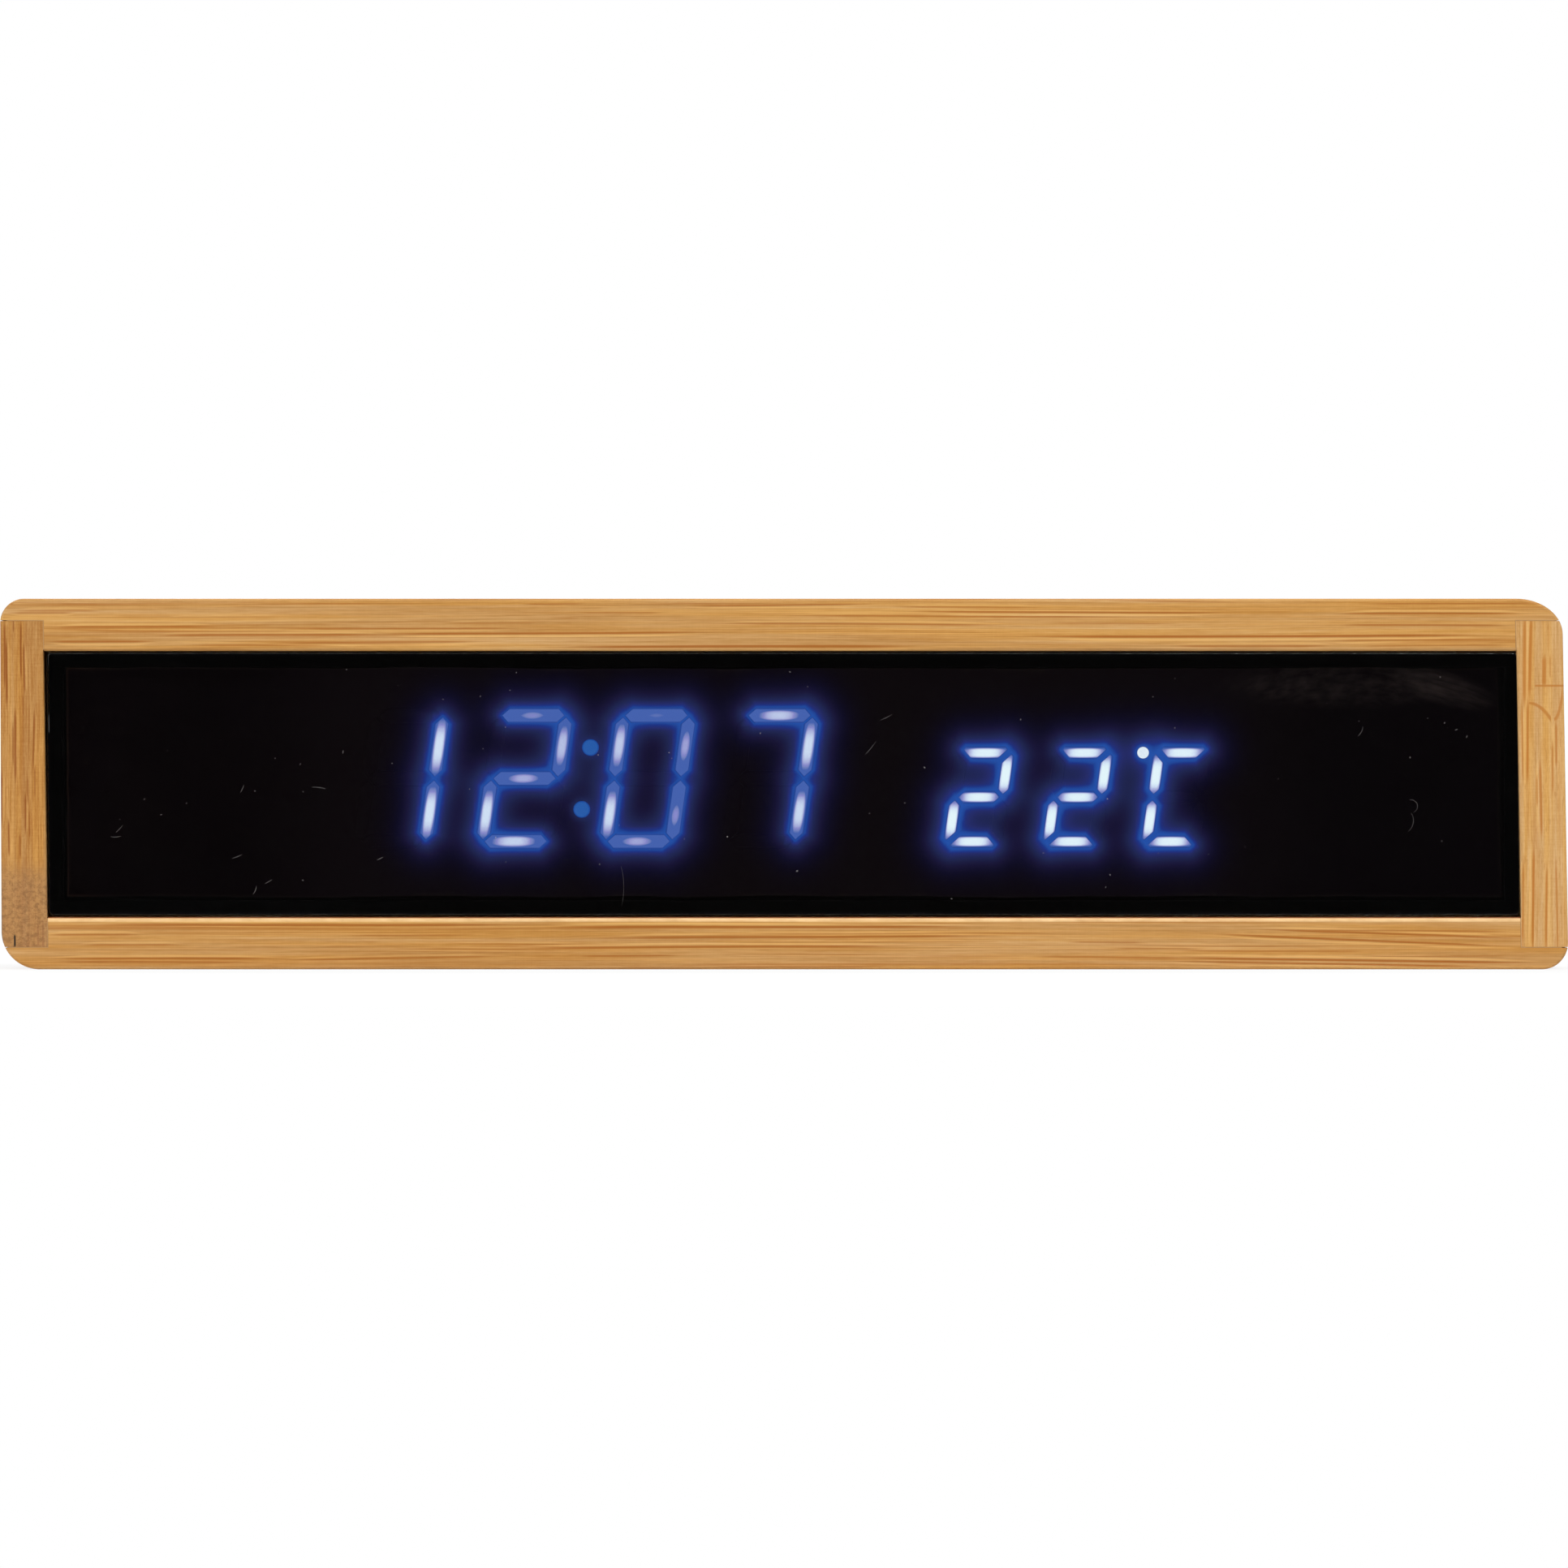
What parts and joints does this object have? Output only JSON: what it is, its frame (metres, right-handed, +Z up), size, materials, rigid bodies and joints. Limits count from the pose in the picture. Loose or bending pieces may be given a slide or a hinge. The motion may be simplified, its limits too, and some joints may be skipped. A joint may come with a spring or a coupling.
{
  "type": "desk clock",
  "caption": "Long bamboo desk clock with a smoked front window over a seven-segment time and temperature display, rear push buttons, a power inlet and a hinged battery door.",
  "frame": {"origin": "middle of the underside", "axes": "+X to the right seen from the front, +Y to the back, +Z up"},
  "size_m": [0.225, 0.04, 0.0532],
  "materials": {
    "bamboo": "sanded and clear oiled bamboo",
    "smoked_acrylic": "polished smoked acrylic",
    "foam_tape": "black closed-cell foam",
    "black_plastic": "fine spark-eroded black plastic",
    "button_plastic": "satin black plastic",
    "display_film": "dark printed film",
    "stroke_resin": "clear blue-lit resin",
    "circuit_board": "green solder mask",
    "chip_plastic": "moulded black plastic",
    "tin_plate": "bright tin plate",
    "aluminium_can": "bare aluminium",
    "black_steel": "black zinc plate",
    "cell_steel": "nickel plated steel",
    "bead_coat": "epoxy dipped bead",
    "pale_nylon": "natural nylon",
    "ribbon_grey": "grey vinyl ribbon"
  },
  "bodies": {
    "case": {"top_board": "bamboo", "bottom_board": "bamboo", "left_board": "bamboo", "right_board": "bamboo", "corner_post_lower_left": "bamboo", "corner_post_upper_left": "bamboo", "corner_post_lower_right": "bamboo", "corner_post_upper_right": "bamboo", "panel_screw_lower_left": "black_steel", "panel_screw_upper_left": "black_steel", "panel_screw_lower_right": "black_steel", "panel_screw_upper_right": "black_steel", "board_screw_lower_left": "tin_plate", "board_screw_upper_left": "tin_plate", "board_screw_lower_right": "tin_plate", "board_screw_upper_right": "tin_plate", "front_window": "smoked_acrylic", "window_tape_top": "foam_tape", "window_tape_bottom": "foam_tape", "window_tape_left": "foam_tape", "window_tape_right": "foam_tape", "display_tray": "black_plastic", "face_film": "display_film", "display_housing": "black_plastic", "stroke_resin": "stroke_resin", "display_base": "circuit_board", "main_board": "circuit_board", "microcontroller": "chip_plastic", "crystal": "tin_plate", "buzzer": "chip_plastic", "capacitor": "aluminium_can", "thermistor": "bead_coat", "main_plug": "pale_nylon", "key_plug": "pale_nylon", "ribbon_cable": "ribbon_grey", "back_panel": "black_plastic", "key_board": "circuit_board", "key_screw_left": "tin_plate", "key_screw_right": "tin_plate", "set_switch": "tin_plate", "up_switch": "tin_plate", "down_switch": "tin_plate", "inlet_shell": "tin_plate", "inlet_tongue": "chip_plastic", "cell_holder": "chip_plastic", "cap_contact": "tin_plate", "leaf_contact": "tin_plate", "coin_cell": "cell_steel"},
    "set_key": {"set_button": "button_plastic", "set_plunger": "chip_plastic"},
    "up_key": {"up_button": "button_plastic", "up_plunger": "chip_plastic"},
    "down_key": {"down_button": "button_plastic", "down_plunger": "chip_plastic"},
    "door": {"battery_door": "black_plastic"}
  },
  "joints": [
    {"name": "set_press", "type": "slide", "parent": "case", "child": "set_key", "axis": [0, -1, 0], "range_m": [0, 0.0005], "stiffness_N_per_m": 300},
    {"name": "up_press", "type": "slide", "parent": "case", "child": "up_key", "axis": [0, -1, 0], "range_m": [0, 0.0005], "stiffness_N_per_m": 300},
    {"name": "down_press", "type": "slide", "parent": "case", "child": "down_key", "axis": [0, -1, 0], "range_m": [0, 0.0005], "stiffness_N_per_m": 300},
    {"name": "door_hinge", "type": "hinge", "parent": "case", "child": "door", "pos_m": [0.048, 0.0172, 0.0379], "axis": [1, 0, 0], "range_deg": [0, 95]}
  ]
}
